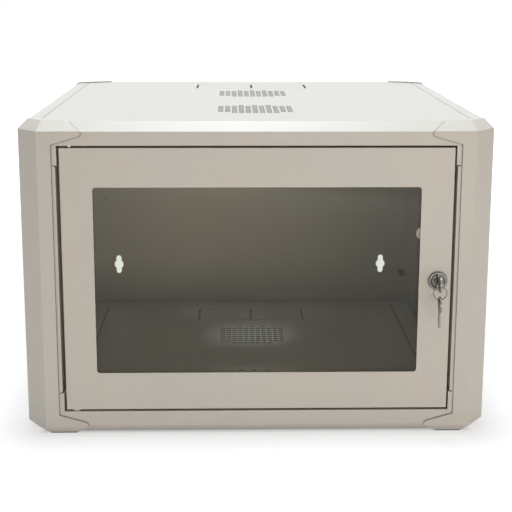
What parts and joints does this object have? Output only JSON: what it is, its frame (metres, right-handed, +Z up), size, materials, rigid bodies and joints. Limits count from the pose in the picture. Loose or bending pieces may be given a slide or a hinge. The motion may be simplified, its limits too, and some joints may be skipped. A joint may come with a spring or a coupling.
{
  "type": "wall mount network cabinet",
  "caption": "Low wide wall cabinet for 19 inch equipment: folded sheet steel frame and panels, glazed swing door with cam lock and keys, removable sides.",
  "frame": {"origin": "middle of the base, at the height of the four corner feet, centred in X and Y on the overall box with the keys in the lock", "axes": "+X to the right as seen from the front, +Y from the door back to the wall, +Z up"},
  "size_m": [0.6026, 0.5806, 0.4115],
  "materials": {
    "body_paint": "fine satin powder coat, warm light grey",
    "rail_zinc": "zinc plated sheet",
    "fastener_zinc": "bright zinc plated",
    "spring_steel": "bright spring steel wire",
    "lock_chrome": "polished chrome plate",
    "key_nickel": "nickel plated",
    "seal_rubber": "matt black rubber",
    "door_glazing": "clear toughened glass, slightly tinted",
    "washer_nylon": "natural nylon"
  },
  "bodies": {
    "cabinet": {"front_frame": "body_paint", "rear_frame": "body_paint", "corner_post_front_left": "body_paint", "corner_post_front_right": "body_paint", "corner_post_rear_left": "body_paint", "corner_post_rear_right": "body_paint", "top_rail_left": "body_paint", "top_rail_right": "body_paint", "base_rail_left": "body_paint", "base_rail_right": "body_paint", "top_panel": "body_paint", "bottom_panel": "body_paint", "rear_panel": "body_paint", "rear_panel_screws": "fastener_zinc", "rack_rail_left": "rail_zinc", "rack_rail_right": "rail_zinc", "depth_bracket_low_left": "rail_zinc", "depth_bracket_low_right": "rail_zinc", "depth_bracket_high_left": "rail_zinc", "depth_bracket_high_right": "rail_zinc", "rack_rail_screws": "fastener_zinc", "rack_rail_nuts": "fastener_zinc", "bracket_screws": "fastener_zinc", "earth_stud": "fastener_zinc", "earth_nut": "fastener_zinc", "door_pads": "seal_rubber", "lower_hinge_pin": "fastener_zinc", "hinge_washer": "washer_nylon"},
    "door": {"door_frame": "body_paint", "glass_seal": "seal_rubber", "door_glass": "door_glazing", "glass_clips": "fastener_zinc", "glass_clip_studs": "fastener_zinc", "glass_clip_nuts": "fastener_zinc", "upper_hinge_guide": "fastener_zinc", "upper_hinge_spring": "spring_steel", "lock_body": "lock_chrome", "lock_nut": "fastener_zinc"},
    "hinge_pin": {"upper_hinge_pin": "fastener_zinc"},
    "lock": {"lock_plug": "lock_chrome", "lock_cam": "fastener_zinc", "lock_cam_screw": "fastener_zinc"},
    "key": {"key": "key_nickel"},
    "ring": {"key_ring": "spring_steel"},
    "spare": {"spare_key": "key_nickel"},
    "side_panel_right": {"side_panel_right": "body_paint", "side_latch_body_right": "lock_chrome", "side_latch_nut_right": "fastener_zinc"},
    "side_panel_left": {"side_panel_left": "body_paint", "side_latch_body_left": "lock_chrome", "side_latch_nut_left": "fastener_zinc"},
    "side_latch_right": {"side_latch_plug_right": "lock_chrome", "side_latch_cam_right": "fastener_zinc"},
    "side_latch_left": {"side_latch_plug_left": "lock_chrome", "side_latch_cam_left": "fastener_zinc"}
  },
  "joints": [
    {"name": "door_hinge", "type": "hinge", "parent": "cabinet", "child": "door", "pos_m": [-0.2336, -0.25055, 0.2], "axis": [0, 0, -1], "range_deg": [0, 115]},
    {"name": "hinge_pin_slide", "type": "slide", "parent": "door", "child": "hinge_pin", "axis": [0, 0, -1], "range_m": [0, 0.009], "stiffness_N_per_m": 400, "springref_m": -0.005, "deforming": ["upper_hinge_spring"]},
    {"name": "lock_turn", "type": "hinge", "parent": "door", "child": "lock", "pos_m": [0.2296, -0.25855, 0.2076], "axis": [0, -1, 0], "range_deg": [0, 90]},
    {"name": "key_pull", "type": "slide", "parent": "lock", "child": "key", "axis": [0, -1, 0], "range_m": [0, 0.025]},
    {"name": "ring_swing", "type": "hinge", "parent": "key", "child": "ring", "pos_m": [0.2296, -0.27975, 0.2053], "axis": [-1, 0, 0], "range_deg": [-10, 40]},
    {"name": "spare_swing", "type": "hinge", "parent": "ring", "child": "spare", "pos_m": [0.2296, -0.27975, 0.1885], "axis": [-1, 0, 0], "range_deg": [-10, 40]},
    {"name": "side_panel_right_tilt", "type": "hinge", "parent": "cabinet", "child": "side_panel_right", "pos_m": [0.2988, 0.01525, 0.0308], "axis": [0, 1, 0], "range_deg": [0, 20]},
    {"name": "side_panel_left_tilt", "type": "hinge", "parent": "cabinet", "child": "side_panel_left", "pos_m": [-0.2988, 0.01525, 0.0308], "axis": [0, -1, 0], "range_deg": [0, 20]},
    {"name": "side_latch_right_turn", "type": "hinge", "parent": "side_panel_right", "child": "side_latch_right", "pos_m": [0.2847, 0.01525, 0.3622], "axis": [-1, 0, 0], "range_deg": [0, 90]},
    {"name": "side_latch_left_turn", "type": "hinge", "parent": "side_panel_left", "child": "side_latch_left", "pos_m": [-0.2847, 0.01525, 0.3622], "axis": [-1, 0, 0], "range_deg": [0, 90]}
  ]
}
